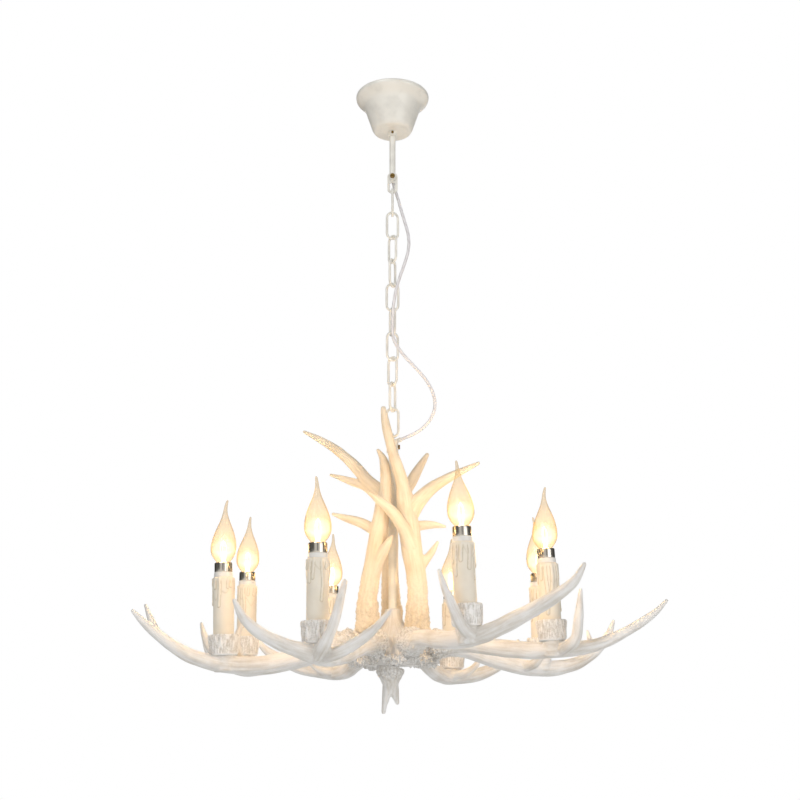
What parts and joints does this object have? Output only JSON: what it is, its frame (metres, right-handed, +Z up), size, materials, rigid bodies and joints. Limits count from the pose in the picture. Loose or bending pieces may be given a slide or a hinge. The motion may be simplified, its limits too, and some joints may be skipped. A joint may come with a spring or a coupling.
{
  "type": "antler chandelier",
  "caption": "Chain-hung chandelier of cast antlers: candle bulbs on curved lower antler arms round a burr hub with standing antlers above it.",
  "frame": {"origin": "centre of the ceiling strap's two screw slots, in the ceiling plane", "axes": "+Z up into the ceiling, +Y away from the front, +X to the right"},
  "size_m": [0.7277, 0.6734, 1.0052],
  "materials": {
    "ivory_resin": "cast resin, satin paint",
    "cream_metal": "satin cream paint",
    "candle_wax": "satin, wax drips",
    "white_plastic": "smooth",
    "clear_cord": "translucent sheath",
    "chrome_collar": "polished",
    "brass_screw": "dulled",
    "zinc_steel": "zinc plated",
    "bulb_glass": "clear, warm tint"
  },
  "bodies": {
    "root": {"ceiling_strap": "zinc_steel", "hanger_tube": "cream_metal", "tube_nuts": "zinc_steel", "terminal_block": "white_plastic", "lug_screw": "brass_screw", "power_cord": "clear_cord"},
    "canopy": {"canopy_cup": "cream_metal", "canopy_collar": "cream_metal", "canopy_set_screw": "brass_screw"},
    "lug": {"hanger_lug": "cream_metal"},
    "link_01": {"chain_link_01": "cream_metal"},
    "link_02": {"chain_link_02": "cream_metal"},
    "link_03": {"chain_link_03": "cream_metal"},
    "link_04": {"chain_link_04": "cream_metal"},
    "link_05": {"chain_link_05": "cream_metal"},
    "link_06": {"chain_link_06": "cream_metal"},
    "link_07": {"chain_link_07": "cream_metal"},
    "link_08": {"chain_link_08": "cream_metal"},
    "link_09": {"chain_link_09": "cream_metal"},
    "link_10": {"chain_link_10": "cream_metal"},
    "chandelier": {"top_eye": "cream_metal", "eye_screw": "brass_screw", "centre_rod": "cream_metal", "hub": "ivory_resin", "hub_nut": "zinc_steel", "hub_plate": "ivory_resin", "arm_bolts": "zinc_steel", "finial": "ivory_resin", "upright_1": "ivory_resin", "upright_2": "ivory_resin", "upright_3": "ivory_resin", "arm_1": "ivory_resin", "arm_2": "ivory_resin", "arm_3": "ivory_resin", "arm_4": "ivory_resin", "arm_5": "ivory_resin", "arm_6": "ivory_resin", "arm_7": "ivory_resin", "arm_8": "ivory_resin", "candle_cups": "ivory_resin", "candle_sleeves": "candle_wax", "lampholders": "white_plastic", "holder_nipples": "zinc_steel"},
    "bulb_1": {"bulb_base_1": "chrome_collar", "bulb_glass_1": "bulb_glass"},
    "bulb_2": {"bulb_base_2": "chrome_collar", "bulb_glass_2": "bulb_glass"},
    "bulb_3": {"bulb_base_3": "chrome_collar", "bulb_glass_3": "bulb_glass"},
    "bulb_4": {"bulb_base_4": "chrome_collar", "bulb_glass_4": "bulb_glass"},
    "bulb_5": {"bulb_base_5": "chrome_collar", "bulb_glass_5": "bulb_glass"},
    "bulb_6": {"bulb_base_6": "chrome_collar", "bulb_glass_6": "bulb_glass"},
    "bulb_7": {"bulb_base_7": "chrome_collar", "bulb_glass_7": "bulb_glass"},
    "bulb_8": {"bulb_base_8": "chrome_collar", "bulb_glass_8": "bulb_glass"}
  },
  "joints": [
    {"name": "canopy_slide", "type": "slide", "parent": "root", "child": "canopy", "axis": [0, 0, -1], "range_m": [0, 0.05]},
    {"name": "lug_swing", "type": "hinge", "parent": "root", "child": "lug", "pos_m": [0, 0, -0.149], "axis": [0, 1, 0], "range_deg": [-15, 15], "deforming": ["power_cord"]},
    {"name": "link_01_swing", "type": "hinge", "parent": "lug", "child": "link_01", "pos_m": [0, 0, -0.176], "axis": [1, 0, 0], "range_deg": [-15, 15], "deforming": ["power_cord"]},
    {"name": "link_02_swing", "type": "hinge", "parent": "link_01", "child": "link_02", "pos_m": [0, 0, -0.2176], "axis": [0, -1, 0], "range_deg": [-15, 15], "deforming": ["power_cord"]},
    {"name": "link_03_swing", "type": "hinge", "parent": "link_02", "child": "link_03", "pos_m": [0, 0, -0.2592], "axis": [-0.9659, -0.2588, 0], "range_deg": [-15, 15], "deforming": ["power_cord"]},
    {"name": "link_04_swing", "type": "hinge", "parent": "link_03", "child": "link_04", "pos_m": [0, 0, -0.3008], "axis": [0.6157, -0.788, 0], "range_deg": [-15, 15], "deforming": ["power_cord"]},
    {"name": "link_05_swing", "type": "hinge", "parent": "link_04", "child": "link_05", "pos_m": [0, 0, -0.3424], "axis": [0.4695, 0.8829, 0], "range_deg": [-15, 15], "deforming": ["power_cord"]},
    {"name": "link_06_swing", "type": "hinge", "parent": "link_05", "child": "link_06", "pos_m": [0, 0, -0.384], "axis": [1, 0, 0], "range_deg": [-15, 15], "deforming": ["power_cord"]},
    {"name": "link_07_swing", "type": "hinge", "parent": "link_06", "child": "link_07", "pos_m": [0, 0, -0.4256], "axis": [-0.4067, 0.9135, 0], "range_deg": [-15, 15], "deforming": ["power_cord"]},
    {"name": "link_08_swing", "type": "hinge", "parent": "link_07", "child": "link_08", "pos_m": [0, 0, -0.4672], "axis": [-0.9135, -0.4067, 0], "range_deg": [-15, 15], "deforming": ["power_cord"]},
    {"name": "link_09_swing", "type": "hinge", "parent": "link_08", "child": "link_09", "pos_m": [0, 0, -0.5088], "axis": [-0.6947, 0.7193, 0], "range_deg": [-15, 15], "deforming": ["power_cord"]},
    {"name": "link_10_swing", "type": "hinge", "parent": "link_09", "child": "link_10", "pos_m": [0, 0, -0.5504], "axis": [-0.4384, -0.8988, 0], "range_deg": [-15, 15], "deforming": ["power_cord"]},
    {"name": "chandelier_swing", "type": "hinge", "parent": "link_10", "child": "chandelier", "pos_m": [0, 0, -0.592], "axis": [0.9903, -0.1392, 0], "range_deg": [-15, 15], "deforming": ["power_cord"]},
    {"name": "bulb_1_unscrew", "type": "slide", "parent": "chandelier", "child": "bulb_1", "axis": [-0.0384, 0, 0.9993], "range_m": [0, 0.026]},
    {"name": "bulb_2_unscrew", "type": "slide", "parent": "chandelier", "child": "bulb_2", "axis": [-0.0366, 0, 0.9993], "range_m": [0, 0.026]},
    {"name": "bulb_3_unscrew", "type": "slide", "parent": "chandelier", "child": "bulb_3", "axis": [0, 0, 1], "range_m": [0, 0.026]},
    {"name": "bulb_4_unscrew", "type": "slide", "parent": "chandelier", "child": "bulb_4", "axis": [0, 0.0105, 0.9999], "range_m": [0, 0.026]},
    {"name": "bulb_5_unscrew", "type": "slide", "parent": "chandelier", "child": "bulb_5", "axis": [0.0436, 0, 0.999], "range_m": [0, 0.026]},
    {"name": "bulb_6_unscrew", "type": "slide", "parent": "chandelier", "child": "bulb_6", "axis": [-0.0105, 0, 0.9999], "range_m": [0, 0.026]},
    {"name": "bulb_7_unscrew", "type": "slide", "parent": "chandelier", "child": "bulb_7", "axis": [-0.0454, 0, 0.999], "range_m": [0, 0.026]},
    {"name": "bulb_8_unscrew", "type": "slide", "parent": "chandelier", "child": "bulb_8", "axis": [-0.0137, 0.0024, 0.9999], "range_m": [0, 0.026]}
  ]
}
